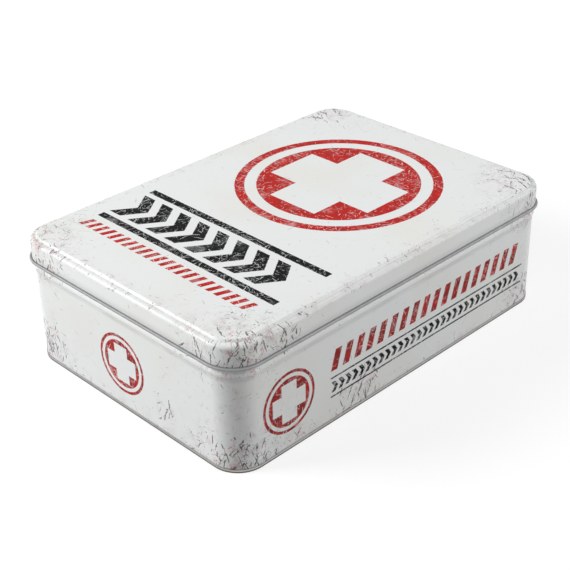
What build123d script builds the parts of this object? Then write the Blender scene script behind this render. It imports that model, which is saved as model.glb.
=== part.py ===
from build123d import *
from math import cos, radians
import os

# A flat storage tin with a hinged lid, drawn and folded from thin tinplate.
# Millimetres. The origin is the middle of the footprint, on the surface that the tin stands on.
# X runs along the long side, -Y is the printed front, +Y the hinge side, and Z is up.
# An inset is a distance inwards from the plan outline, which is the outside of the lid's rolled rim.

# Overall size, lid closed
LENGTH = 230.0
WIDTH = 160.0
HEIGHT = 70.0
CORNER_RADIUS = 17.3

# Sheets and wire
LID_SHEET = 0.30
BODY_SHEET = 0.25
BASE_SHEET = 0.25
WIRE_DIAMETER = 0.90

# Rolled edges go round in short flats
ROLL_FLATS = 10
ROLL_FLAT_DEGREES = 30.0

# Lid: raised panel, riser, ledge, rounded shoulder, skirt and outward roll
LID_DEPTH = 13.4
PANEL_INSET = 5.2
PANEL_RAISE = 1.2
RISER_RUN = 0.9
SHOULDER_RADIUS = 2.1
PANEL_BORDER = 2.0
WIRE_GRIP_GAP = 0.02

# Body wall: bead under the lid, neck inside the skirt, and inward roll at the mouth
LID_TO_WALL_GAP = 0.76
LID_TO_MOUTH_GAP = 0.40
MOUTH_RADIUS = 1.0
BEAD_DROP = 4.0
BEAD_HEIGHT = 3.6
BEAD_DEPTH = 0.5

# Folded seam of the wall, on the rear side
SEAM_X = 84.0
SEAM_WIDTH = 4.5
SEAM_LAYERS = 4
SEAM_CLEAR_OF_MOUTH = 3.0
SEAM_GROOVE_WIDTH = 0.30
SEAM_GROOVE_DEPTH = 0.12

# Base panel: edge folded round the wall, recess and stepped floor
FOLD_HEIGHT = 1.8
FOLD_GAP = 0.03
FLOOR_RECESS = 2.2
STEP_INSET = 9.0
STEP_RUN = 0.8
STEP_RISE = 0.5
FLOOR_BORDER = 1.5

# Hinge: loops cut from the rear wall, rolled round wires that lie in the lid's rim
HINGE_SPACING = 112.0
LOOP_WIDTH = 8.0
LOOP_RUNNING_GAP = 0.06
LOOP_ROLL_DEGREES = 300.0
LOOP_BEND_RADIUS = 0.30
LOOP_ROOT = 1.0
WINDOW_HEIGHT = 5.6
WINDOW_SLIT = 0.15
NOTCH_SIDE_GAP = 0.35
NOTCH_TOP_GAP = 0.40
WIRE_LENGTH = 26.0

# The rim rolls outwards round the wire, so its centre line is the hinge axis at the rear
RIM_INNER_RADIUS = (WIRE_DIAMETER / 2 + WIRE_GRIP_GAP) / cos(radians(ROLL_FLAT_DEGREES / 2))
RIM_OUTER_RADIUS = RIM_INNER_RADIUS + LID_SHEET
RIM_Z = HEIGHT - LID_DEPTH + RIM_OUTER_RADIUS
HINGE_Y = WIDTH / 2 - RIM_OUTER_RADIUS
HINGE_XS = (-HINGE_SPACING / 2, HINGE_SPACING / 2)

# Heights and insets that follow from the sizes above
LEDGE_Z = HEIGHT - PANEL_RAISE
SKIRT_INSET = RIM_OUTER_RADIUS + RIM_INNER_RADIUS
WALL_INSET = SKIRT_INSET + LID_SHEET + LID_TO_WALL_GAP
MOUTH_Z = LEDGE_Z - LID_SHEET - LID_TO_MOUTH_GAP - MOUTH_RADIUS
BEAD_Z = RIM_Z - BEAD_DROP - BEAD_HEIGHT / 4
WALL_Y = WIDTH / 2 - WALL_INSET
WALL_FOOT_Z = BASE_SHEET + FOLD_GAP
STRAIGHT_X = LENGTH / 2 - CORNER_RADIUS
STRAIGHT_Y = WIDTH / 2 - CORNER_RADIUS

os.makedirs("parts", exist_ok=True)


def at(inset, height):
    """A point of a section through the middle of the rear side, in its plane's Y and Z."""
    return (WIDTH / 2 - inset, height)


def carried_round(section):
    """The ring that a section at the middle of the rear side makes when it goes round the tin."""
    corner_axis = Axis((STRAIGHT_X, STRAIGHT_Y, 0), (0, 0, -1))
    rear_end = section.moved(Location((STRAIGHT_X, 0, 0)))
    side_end = rear_end.rotate(corner_axis, 90)
    with BuildPart() as ring:
        extrude(section, amount=STRAIGHT_X, dir=(1, 0, 0))
        revolve(rear_end, axis=corner_axis, revolution_arc=90)
        extrude(side_end, amount=STRAIGHT_Y, dir=(0, -1, 0))
        mirror(about=Plane.XZ)
        mirror(about=Plane.YZ)
    return ring.part


def wall_line(foot, head):
    """The outer face of the wall in section, from foot to head, with the bead on the way."""
    bead_foot = at(WALL_INSET, BEAD_Z - BEAD_HEIGHT / 2)
    bead_head = at(WALL_INSET, BEAD_Z + BEAD_HEIGHT / 2)
    Line(at(WALL_INSET, foot), bead_foot)
    ThreePointArc(bead_foot, at(WALL_INSET - BEAD_DEPTH, BEAD_Z), bead_head)
    Line(bead_head, at(WALL_INSET, head))


def roll_points(centre, radius, start):
    """The points of a rolled edge's face in section, from its start angle round its centre."""
    turns = [start + flat * ROLL_FLAT_DEGREES for flat in range(ROLL_FLATS + 1)]
    return [Vector(*centre) + Vector(radius, 0).rotate(Axis.Z, turn) for turn in turns]


def roll_outline(centre, inner_radius, sheet, start):
    """The outline of a rolled edge in section: a band of sheet that turns about a centre."""
    outside = roll_points(centre, inner_radius + sheet, start)
    inside = roll_points(centre, inner_radius, start)
    Polyline(*outside, *reversed(inside), close=True)


# Lid: the section of its border, carried round, and the flat of the raised panel inside it
plate_inset = PANEL_INSET + PANEL_BORDER
with BuildSketch(Plane.YZ) as lid_section:
    with BuildLine():
        riser_foot = at(PANEL_INSET - RISER_RUN, LEDGE_Z)
        Polyline(at(plate_inset, HEIGHT), at(PANEL_INSET, HEIGHT), riser_foot)
        skirt_top = at(SKIRT_INSET, LEDGE_Z)
        FilletPolyline(riser_foot, skirt_top, at(SKIRT_INSET, RIM_Z), radius=SHOULDER_RADIUS)
        offset(amount=LID_SHEET, kind=Kind.INTERSECTION, side=Side.RIGHT)
    make_face()
    with BuildLine():
        roll_outline(at(RIM_OUTER_RADIUS, RIM_Z), RIM_INNER_RADIUS, LID_SHEET, 180)
    make_face()

rim_ring = carried_round(lid_section.sketch)
with BuildPart() as lid:
    add(rim_ring)
    with BuildSketch(Plane.XY.offset(HEIGHT - LID_SHEET)):
        RectangleRounded(
            LENGTH - 2 * plate_inset, WIDTH - 2 * plate_inset, CORNER_RADIUS - plate_inset
        )
    extrude(amount=LID_SHEET)
    # Notches in the rear skirt and rim, where the body's loops reach the wires
    notch_top = RIM_OUTER_RADIUS + NOTCH_TOP_GAP
    with Locations(*[(x, HINGE_Y, RIM_Z + notch_top) for x in HINGE_XS]):
        Box(
            LOOP_WIDTH + 2 * NOTCH_SIDE_GAP,
            4 * RIM_OUTER_RADIUS,
            2 * notch_top,
            align=(Align.CENTER, Align.CENTER, Align.MAX),
            mode=Mode.SUBTRACT,
        )
lid.part.label = "lid"
export_step(lid.part, "parts/lid.step")


# Body wall: one strip with its bead and rolled mouth, closed at the rear by the folded seam
with BuildSketch(Plane.YZ) as wall_section:
    with BuildLine():
        wall_line(WALL_FOOT_Z, MOUTH_Z)
        offset(amount=BODY_SHEET, kind=Kind.INTERSECTION, side=Side.LEFT)
    make_face()
    with BuildLine():
        mouth_centre = at(WALL_INSET + MOUTH_RADIUS, MOUTH_Z)
        roll_outline(mouth_centre, MOUTH_RADIUS - BODY_SHEET, BODY_SHEET, 0)
    make_face()

seam_depth = SEAM_LAYERS * BODY_SHEET
seam_foot = FLOOR_RECESS + 2 * BASE_SHEET
seam_head = MOUTH_Z - SEAM_CLEAR_OF_MOUTH
wall_ring = carried_round(wall_section.sketch)
with BuildPart() as body_wall:
    add(wall_ring)
    with BuildSketch(Plane.YZ.offset(SEAM_X - SEAM_WIDTH / 2)):
        with BuildLine():
            wall_line(seam_foot, seam_head)
            Polyline(
                at(WALL_INSET, seam_head),
                at(WALL_INSET + seam_depth, seam_head),
                at(WALL_INSET + seam_depth, seam_foot),
                at(WALL_INSET, seam_foot),
            )
        make_face()
    extrude(amount=SEAM_WIDTH)
    # The line of the fold, pressed into the outside of the seam below the bead
    groove_height = BEAD_Z - BEAD_HEIGHT / 2 - seam_foot
    with Locations((SEAM_X - SEAM_WIDTH / 4, WALL_Y, seam_foot)):
        Box(
            SEAM_GROOVE_WIDTH,
            2 * SEAM_GROOVE_DEPTH,
            groove_height,
            align=(Align.CENTER, Align.CENTER, Align.MIN),
            mode=Mode.SUBTRACT,
        )
    # Windows that the loops leave in the wall
    loop_centre = (HINGE_Y, RIM_Z)
    loop_inner_radius = WIRE_DIAMETER / 2 + LOOP_RUNNING_GAP
    loop_outer_radius = loop_inner_radius + BODY_SHEET
    strap_z = RIM_Z - loop_outer_radius
    window_foot = strap_z - LOOP_BEND_RADIUS
    with Locations(*[(x, WALL_Y, window_foot) for x in HINGE_XS]):
        Box(
            LOOP_WIDTH + 2 * WINDOW_SLIT,
            4 * BODY_SHEET,
            WINDOW_HEIGHT,
            align=(Align.CENTER, Align.CENTER, Align.MIN),
            mode=Mode.SUBTRACT,
        )
    # Loops: the strip turns out of the wall, passes under the wire and rolls round it
    for hinge_x in HINGE_XS:
        with BuildSketch(Plane.YZ.offset(hinge_x - LOOP_WIDTH / 2)):
            with BuildLine():
                FilletPolyline(
                    (WALL_Y, window_foot - LOOP_ROOT),
                    (WALL_Y, strap_z),
                    (HINGE_Y, strap_z),
                    radius=LOOP_BEND_RADIUS,
                )
                offset(amount=BODY_SHEET, side=Side.LEFT)
            make_face()
            with BuildLine():
                outside = CenterArc(loop_centre, loop_outer_radius, 270, LOOP_ROLL_DEGREES)
                inside = CenterArc(loop_centre, loop_inner_radius, 270, LOOP_ROLL_DEGREES)
                Line(outside @ 0, inside @ 0)
                Line(outside @ 1, inside @ 1)
            make_face()
        extrude(amount=LOOP_WIDTH)
body_wall.part.label = "body_wall"
export_step(body_wall.part, "parts/body_wall.step")


# Base panel: the folded edge round the foot of the wall, and the stepped floor inside it
outer_leg_inset = WALL_INSET - FOLD_GAP - BASE_SHEET
inner_leg_inset = WALL_INSET + BODY_SHEET + FOLD_GAP + BASE_SHEET
floor_inset = STEP_INSET + STEP_RUN + FLOOR_BORDER
floor_z = FLOOR_RECESS + STEP_RISE
with BuildSketch(Plane.YZ) as base_section:
    with BuildLine():
        Polyline(
            at(outer_leg_inset, FOLD_HEIGHT),
            at(outer_leg_inset, 0),
            at(inner_leg_inset, 0),
            at(inner_leg_inset, FLOOR_RECESS),
            at(STEP_INSET, FLOOR_RECESS),
            at(STEP_INSET + STEP_RUN, floor_z),
            at(floor_inset, floor_z),
        )
        offset(amount=BASE_SHEET, kind=Kind.INTERSECTION, side=Side.RIGHT)
    make_face()

fold_ring = carried_round(base_section.sketch)
with BuildPart() as base_panel:
    add(fold_ring)
    with BuildSketch(Plane.XY.offset(floor_z)):
        RectangleRounded(
            LENGTH - 2 * floor_inset, WIDTH - 2 * floor_inset, CORNER_RADIUS - floor_inset
        )
    extrude(amount=BASE_SHEET)
base_panel.part.label = "base_panel"
export_step(base_panel.part, "parts/base_panel.step")


# Hinge wires, one in the lid's rear rim at each loop
for side, hinge_x in zip(("left", "right"), HINGE_XS):
    with BuildPart() as hinge_wire:
        with BuildSketch(Plane.YZ.offset(hinge_x - WIRE_LENGTH / 2)):
            with Locations((HINGE_Y, RIM_Z)):
                Circle(WIRE_DIAMETER / 2)
        extrude(amount=WIRE_LENGTH)
    hinge_wire.part.label = f"hinge_wire_{side}"
    export_step(hinge_wire.part, f"parts/hinge_wire_{side}.step")
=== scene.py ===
import logging
import math
from dataclasses import dataclass, field
from enum import Enum

import bmesh
import bpy
from bpy.types import ID, Material, Node, NodeSocket, NodeTree, Object
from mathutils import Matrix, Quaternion, Vector


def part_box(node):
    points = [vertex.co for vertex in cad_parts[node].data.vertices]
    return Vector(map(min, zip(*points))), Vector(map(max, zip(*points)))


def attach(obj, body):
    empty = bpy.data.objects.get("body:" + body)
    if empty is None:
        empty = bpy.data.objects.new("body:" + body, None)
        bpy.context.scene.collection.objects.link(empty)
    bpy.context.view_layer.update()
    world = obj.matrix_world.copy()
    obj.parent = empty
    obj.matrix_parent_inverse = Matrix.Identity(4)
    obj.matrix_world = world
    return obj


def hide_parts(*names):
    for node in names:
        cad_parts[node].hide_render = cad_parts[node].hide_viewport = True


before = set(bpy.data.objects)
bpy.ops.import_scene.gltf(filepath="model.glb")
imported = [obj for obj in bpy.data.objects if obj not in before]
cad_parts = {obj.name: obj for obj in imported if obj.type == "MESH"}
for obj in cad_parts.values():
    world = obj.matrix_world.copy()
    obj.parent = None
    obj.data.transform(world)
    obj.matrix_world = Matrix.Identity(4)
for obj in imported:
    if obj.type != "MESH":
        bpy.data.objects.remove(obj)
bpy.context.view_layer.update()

MM = 0.001
SHARP_ABOVE = 34.0
RIM_Z = 57.4
WHITE = (1.0, 1.0, 1.0, 1.0)
log = logging.getLogger("tin")

Point = tuple[float, float]
Place = tuple[float, float, float]
Colour = tuple[float, float, float]


class Side(Enum):
    """The two faces of a sheet: the one that is enamelled, and the one left bare."""

    ENAMELLED = "Enamelled"
    BARE = "Bare"


@dataclass(frozen=True)
class Plan:
    """The tin's plan outline, on the outside of the lid's rolled rim, in millimetres."""

    length: float
    width: float
    height: float
    corner_radius: float = 17.3
    corner_steps: int = 28

    @classmethod
    def of_frame(cls) -> "Plan":
        """The outline, with its length, width and height read from the CAD lid."""
        low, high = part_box("lid")
        return cls((high.x - low.x) / MM, (high.y - low.y) / MM, high.z / MM)


def turn_angle(before: Vector, corner: Vector, after: Vector) -> float:
    """The angle that a line turns at a corner, in radians, positive to the left."""
    first, second = (corner - before).normalized(), (after - corner).normalized()
    return math.atan2(first.x * second.y - first.y * second.x, first.dot(second))


def parallel_line(points: list[Vector], distance: float) -> list[Vector]:
    """Moves a line sideways, keeping its corners on their mitres.

    Args:
        points: The line's points.
        distance: How far to the left of its direction the new line lies.

    Returns:
        The points of the parallel line.
    """
    moved = []
    for index, point in enumerate(points):
        before = points[max(index - 1, 0)]
        after = points[min(index + 1, len(points) - 1)]
        first = (point - before).normalized() if index else (after - point).normalized()
        second = (after - point).normalized() if index < len(points) - 1 else first
        mitre = Vector((-first.y - second.y, first.x + second.x)).normalized()
        left = Vector((-first.y, first.x))
        moved.append(point + mitre * distance / mitre.dot(left))
    return moved


def arc_points(centre: Vector, radius: float, start: float, sweep: float, steps: int) -> list[Vector]:
    """Points along an arc, its two ends included, with its angles in degrees."""
    angles = [math.radians(start + sweep * step / steps) for step in range(steps + 1)]
    return [centre + Vector((math.cos(a), math.sin(a))) * radius for a in angles]


def rounded_line(points: list[Vector], radii: list[float], steps: int) -> list[Vector]:
    """Rounds the corners of a line.

    Args:
        points: The line's points, its two ends included.
        radii: The radius at each corner between the ends.
        steps: How many steps each arc takes.

    Returns:
        The points of the rounded line.
    """
    line = [points[0]]
    for index, radius in enumerate(radii, start=1):
        before, corner, after = points[index - 1 : index + 2]
        angle = turn_angle(before, corner, after)
        direction = (corner - before).normalized()
        start = corner - direction * radius * math.tan(abs(angle) / 2)
        left = Vector((-direction.y, direction.x)) * math.copysign(1.0, angle)
        heading = math.degrees(math.atan2(-left.y, -left.x))
        line += arc_points(start + left * radius, radius, heading, math.degrees(angle), steps)
    return [*line, points[-1]]


@dataclass
class Sheet:
    """A strip of sheet in section, as the line of each of its two faces.

    The section's first number is the distance inwards from the plan outline, taken as negative,
    and its second is the height, both in millimetres. An end that runs on into a flat panel
    stays open, and the other ends are cut square.
    """

    ROLL_STEPS = 20

    thickness: float
    flat_at_start: bool = False
    flat_at_end: bool = False
    enamelled: list[Vector] = field(default_factory=list)
    bare: list[Vector] = field(default_factory=list)

    def bend(self, points: list[Point], radii: list[float], steps: int = 6) -> None:
        """Adds a bent run of the sheet, whose bare face lies to the right of its line.

        Args:
            points: The points of the enamelled face, its corners unrounded.
            radii: The radius of the enamelled face at each corner.
            steps: How many steps each bend takes.
        """
        line = [Vector(point) for point in points]
        turns = [turn_angle(*line[i : i + 3]) for i in range(len(radii))]
        inner = [r + math.copysign(self.thickness, t) for r, t in zip(radii, turns)]
        self.enamelled += rounded_line(line, radii, steps)
        self.bare += rounded_line(parallel_line(line, -self.thickness), inner, steps)

    def roll(self, centre: Point, radii: Point, start: float, sweep: float) -> None:
        """Adds a rolled edge at the end of the sheet.

        Args:
            centre: The middle of the roll.
            radii: The radii that the enamelled and the bare face are rolled to.
            start: The angle at which the roll starts, in degrees.
            sweep: The angle that it turns through, in degrees.
        """
        for line, radius in zip((self.enamelled, self.bare), radii):
            line += arc_points(Vector(centre), radius, start, sweep, self.ROLL_STEPS)[1:]

    def lines(self) -> tuple[list[Vector], list[Vector]]:
        """Both faces' lines, the bare one with the cut ends of the sheet.

        Returns:
            The enamelled face's points and the bare face's points.
        """
        start = [] if self.flat_at_start else [self.enamelled[0]]
        end = [] if self.flat_at_end else [self.enamelled[-1]]
        return self.enamelled, [*start, *self.bare, *end]


def add_object(name: str, data: ID) -> Object:
    """Adds an object to the scene, at the origin.

    Args:
        name: The object's name.
        data: Its mesh, curve, lamp or camera.

    Returns:
        The object.
    """
    made = bpy.data.objects.new(name, data)
    bpy.context.scene.collection.objects.link(made)
    return made


def feed(tree: NodeTree, value: "Source", socket: NodeSocket) -> None:
    """Links a socket to what feeds it, or sets the socket's own value.

    Args:
        tree: The node tree.
        value: A field or a socket to link from, or a plain value.
        socket: The input.
    """
    value = value.socket if isinstance(value, Field) else value
    if isinstance(value, NodeSocket):
        tree.links.new(value, socket)
    else:
        socket.default_value = value


def add_node(tree: NodeTree, kind: str, given: dict[str | int, "Source"], **settings: str) -> Node:
    """Adds a node, sets it up and feeds its inputs.

    Args:
        tree: The node tree.
        kind: The node's type.
        given: What each input gets, by the input's name or number.
        **settings: The node's own settings.

    Returns:
        The node.
    """
    made = tree.nodes.new(kind)
    for name, value in settings.items():
        setattr(made, name, value)
    for key, value in given.items():
        feed(tree, value, made.inputs[key])
    return made


def line_object(name: str, points: list[Vector]) -> Object:
    """Makes a poly curve of a section's line, for the ring tree, which sweeps it with Y down.

    Args:
        name: The object's name.
        points: The line's points in millimetres.

    Returns:
        The curve object, in metres.
    """
    curve = bpy.data.curves.new(name, "CURVE")
    curve.dimensions = "3D"
    spline = curve.splines.new("POLY")
    spline.points.add(len(points) - 1)
    for spot, point in zip(spline.points, points):
        spot.co = (point.x * MM, -point.y * MM, 0.0, 1.0)
    return add_object(name, curve)


class RingTree:
    """The Geometry Nodes tree that carries a sheet's section round the tin's plan."""

    NAME = "carry_section_round"
    MARK = "enamelled"
    MERGE_DISTANCE = 1e-7
    INPUTS = {
        "Length": "NodeSocketFloat",
        "Width": "NodeSocketFloat",
        "Corner Radius": "NodeSocketFloat",
        "Corner Steps": "NodeSocketInt",
        "Enamelled Line": "NodeSocketObject",
        "Bare Line": "NodeSocketObject",
        "Enamelled Finish": "NodeSocketMaterial",
        "Bare Finish": "NodeSocketMaterial",
    }

    def __init__(self) -> None:
        """Builds the tree once, with its named inputs."""
        self.tree = bpy.data.node_groups.new(self.NAME, "GeometryNodeTree")
        sides = self.tree.interface
        sides.new_socket("Geometry", in_out="OUTPUT", socket_type="NodeSocketGeometry")
        self.sockets = [
            sides.new_socket(name, in_out="INPUT", socket_type=kind).identifier
            for name, kind in self.INPUTS.items()
        ]
        self._nodes()

    def _after(self, geometry: NodeSocket, kind: str, given: dict[str, "Source"],
               **settings: str) -> NodeSocket:
        """Adds a node that takes a geometry in by its first input, and returns its first output."""
        entry = "Curve" if geometry.name == "Curve" else "Geometry"
        return add_node(self.tree, kind, {entry: geometry, **given}, **settings).outputs[0]

    def _nodes(self) -> None:
        """Adds the nodes: outline, two swept faces, merge, realize and finishes."""
        tree, after = self.tree, self._after
        given = tree.nodes.new("NodeGroupInput").outputs
        sides = {"Width": given["Length"], "Height": given["Width"]}
        outline = add_node(tree, "GeometryNodeCurvePrimitiveQuadrilateral", sides).outputs["Curve"]
        corners = {"Count": given["Corner Steps"], "Radius": given["Corner Radius"]}
        outline = after(outline, "GeometryNodeFilletCurve", corners, mode="POLY")
        outline = after(outline, "GeometryNodeSetCurveNormal", {}, mode="Z_UP")
        joined = tree.nodes.new("GeometryNodeJoinGeometry")
        for side in Side:
            line = add_node(tree, "GeometryNodeObjectInfo", {"Object": given[f"{side.value} Line"]})
            profile = {"Profile Curve": line.outputs["Geometry"]}
            swept = after(outline, "GeometryNodeCurveToMesh", profile)
            mark = {"Name": self.MARK, "Value": side is Side.ENAMELLED}
            kind = "GeometryNodeStoreNamedAttribute"
            swept = after(swept, kind, mark, data_type="BOOLEAN", domain="FACE")
            tree.links.new(swept, joined.inputs["Geometry"])
        near = {"Distance": self.MERGE_DISTANCE}
        geometry = after(joined.outputs["Geometry"], "GeometryNodeMergeByDistance", near)
        geometry = after(geometry, "GeometryNodeRealizeInstances", {})
        kind = "GeometryNodeInputNamedAttribute"
        painted = add_node(tree, kind, {"Name": self.MARK}, data_type="BOOLEAN")
        finish = {"Material": given["Bare Finish"]}
        geometry = after(geometry, "GeometryNodeSetMaterial", finish)
        finish = {"Material": given["Enamelled Finish"], "Selection": painted.outputs["Attribute"]}
        geometry = after(geometry, "GeometryNodeSetMaterial", finish)
        add_node(tree, "NodeGroupOutput", {"Geometry": geometry})

    def sweep(self, name: str, plan: Plan, sheet: Sheet, enamelled: Material, bare: Material) -> Object:
        """Carries a sheet round the plan and returns it as a closed mesh.

        Args:
            name: The piece's name.
            plan: The outline that the sheet follows.
            sheet: The sheet's section.
            enamelled: The material of its enamelled face.
            bare: The material of its bare face.

        Returns:
            The piece, at the origin, with its faces outwards.
        """
        lines = [line_object(side.value, line) for side, line in zip(Side, sheet.lines())]
        carrier = add_object("carrier", bpy.data.meshes.new("carrier"))
        modifier = carrier.modifiers.new("ring", "NODES")
        modifier.node_group = self.tree
        sizes = (plan.length * MM, plan.width * MM, plan.corner_radius * MM, plan.corner_steps)
        for socket, value in zip(self.sockets, (*sizes, *lines, enamelled, bare)):
            modifier[socket] = value
        graph = bpy.context.evaluated_depsgraph_get()
        mesh = bpy.data.meshes.new_from_object(carrier.evaluated_get(graph))
        mesh.name = name
        for helper in (carrier, *lines):
            bpy.data.objects.remove(helper)
        made = add_object(name, mesh)
        close_shell(made)
        return made


def close_shell(piece: Object) -> None:
    """Fills what a swept sheet leaves open, and turns all its faces outwards.

    Args:
        piece: The swept piece.
    """
    work = bmesh.new()
    work.from_mesh(piece.data)
    bmesh.ops.remove_doubles(work, verts=work.verts, dist=RingTree.MERGE_DISTANCE)
    open_edges = [edge for edge in work.edges if edge.is_boundary]
    neighbours = {edge: edge.link_faces[0].material_index for edge in open_edges}
    for face in bmesh.ops.holes_fill(work, edges=open_edges, sides=0)["faces"]:
        face.material_index = neighbours[face.edges[0]]
    bmesh.ops.recalc_face_normals(work, faces=work.faces)
    work.to_mesh(piece.data)
    work.free()


def smooth(piece: Object) -> Object:
    """Shades a piece smooth, with its folds left sharp.

    Args:
        piece: The piece.

    Returns:
        The same piece.
    """
    piece.data.shade_smooth()
    piece.data.set_sharp_from_angle(angle=math.radians(SHARP_ABOVE))
    return piece


def cut(piece: Object, cutters: list[Object]) -> None:
    """Cuts a piece with others, which are then removed.

    Args:
        piece: The piece that is cut.
        cutters: Closed meshes to take away from it.
    """
    for cutter in cutters:
        modifier = piece.modifiers.new("cut", "BOOLEAN")
        modifier.operation, modifier.solver = "DIFFERENCE", "EXACT"
        modifier.object = cutter
    graph = bpy.context.evaluated_depsgraph_get()
    mesh = bpy.data.meshes.new_from_object(piece.evaluated_get(graph))
    piece.modifiers.clear()
    piece.data = mesh
    for cutter in cutters:
        bpy.data.objects.remove(cutter)


def prism(name: str, outline: list[Point], start: float, width: float, material: Material) -> Object:
    """Extrudes an outline in the Y and Z plane along X.

    Args:
        name: The piece's name.
        outline: The outline's points in millimetres.
        start: Where it starts along X, in millimetres.
        width: How far it runs along X.
        material: Its finish.

    Returns:
        The closed piece, at the origin.
    """
    work = bmesh.new()
    face = work.faces.new([work.verts.new((start * MM, y * MM, z * MM)) for y, z in outline])
    pushed = bmesh.ops.extrude_face_region(work, geom=[face])["geom"]
    moved = [item for item in pushed if isinstance(item, bmesh.types.BMVert)]
    bmesh.ops.translate(work, verts=moved, vec=(width * MM, 0.0, 0.0))
    bmesh.ops.recalc_face_normals(work, faces=work.faces)
    mesh = bpy.data.meshes.new(name)
    work.to_mesh(mesh)
    work.free()
    mesh.materials.append(material)
    return add_object(name, mesh)


def block(name: str, low: Place, high: Place, material: Material) -> Object:
    """Makes a box between its lowest and its highest corner, in millimetres."""
    outline = [(low[1], low[2]), (high[1], low[2]), (high[1], high[2]), (low[1], high[2])]
    return prism(name, outline, low[0], high[0] - low[0], material)


@dataclass
class Hinge:
    """Where the hinge is, from the CAD wires, and the sizes of its loops."""

    loop_width: float = 8.0
    running_gap: float = 0.06
    roll_start: float = 270.0
    roll_degrees: float = 300.0
    roll_steps: int = 24
    sheet: float = 0.25
    window_height: float = 5.6
    window_slit: float = 0.15
    notch_side_gap: float = 0.35
    notch_top_gap: float = 0.40
    bend_radius: float = 0.30

    def __post_init__(self) -> None:
        """Reads the wires' places and thickness from the frame."""
        boxes = [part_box("hinge_wire_left"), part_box("hinge_wire_right")]
        self.xs = [(low.x + high.x) / 2 / MM for low, high in boxes]
        low, high = boxes[0]
        self.y = (low.y + high.y) / 2 / MM
        self.z = (low.z + high.z) / 2 / MM
        self.wire_radius = (high.z - low.z) / 2 / MM
        self.loop_inner = self.wire_radius + self.running_gap
        self.loop_outer = self.loop_inner + self.sheet
        self.strap_z = self.z - self.loop_outer
        self.window_foot = self.strap_z - self.bend_radius

    def openings(self, side_gap: float, low: Point, high: Point, finish: Material) -> list[Object]:
        """A box round each loop, to cut with: its lowest and highest corner are Y and Z."""
        half = self.loop_width / 2 + side_gap
        return [block("opening", (x - half, *low), (x + half, *high), finish) for x in self.xs]


@dataclass
class Lid:
    """The lid: raised panel, ledge, rounded shoulder, skirt and a rim rolled outwards."""

    plan: Plan
    hinge: Hinge
    outside: Material
    inside: Material
    sheet: float = 0.30
    panel_inset: float = 5.2
    panel_raise: float = 1.2
    panel_border: float = 2.0
    riser_run: float = 0.9
    riser_radius: float = 0.55
    shoulder_radius: float = 2.1
    bend_steps: int = 8
    roll_start: float = 180.0
    roll_degrees: float = 296.0

    def section(self) -> Sheet:
        """The section of the lid's border, from the panel out to the roll's tip.

        Returns:
            The sheet with both its faces.
        """
        bore = self.plan.width / 2 - self.hinge.y - self.sheet
        outer = bore + self.sheet
        skirt = outer + bore
        top, ledge = self.plan.height, self.plan.height - self.panel_raise
        strip = Sheet(self.sheet, flat_at_start=True)
        strip.bend(
            [
                (-self.panel_inset - self.panel_border, top),
                (-self.panel_inset, top),
                (-self.panel_inset + self.riser_run, ledge),
                (-skirt, ledge),
                (-skirt, self.hinge.z),
            ],
            [self.riser_radius, self.riser_radius, self.shoulder_radius],
            self.bend_steps,
        )
        strip.roll((-outer, self.hinge.z), (bore, outer), self.roll_start, self.roll_degrees)
        return strip

    def build(self, tree: RingTree) -> Object:
        """Makes the lid, cuts its hinge notches and puts it in place of the CAD lid.

        Args:
            tree: The tree that carries the section round.

        Returns:
            The lid's piece.
        """
        lid = tree.sweep("lid_shell", self.plan, self.section(), self.outside, self.inside)
        hinge = self.hinge
        roll = self.plan.width / 2 - hinge.y
        low = (hinge.y - 2 * roll, hinge.z - 2 * roll)
        high = (hinge.y + 2 * roll, hinge.z + roll + hinge.notch_top_gap)
        cut(lid, hinge.openings(hinge.notch_side_gap, low, high, self.inside))
        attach(smooth(lid), "lid_assembly")
        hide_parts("lid")
        return lid


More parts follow.
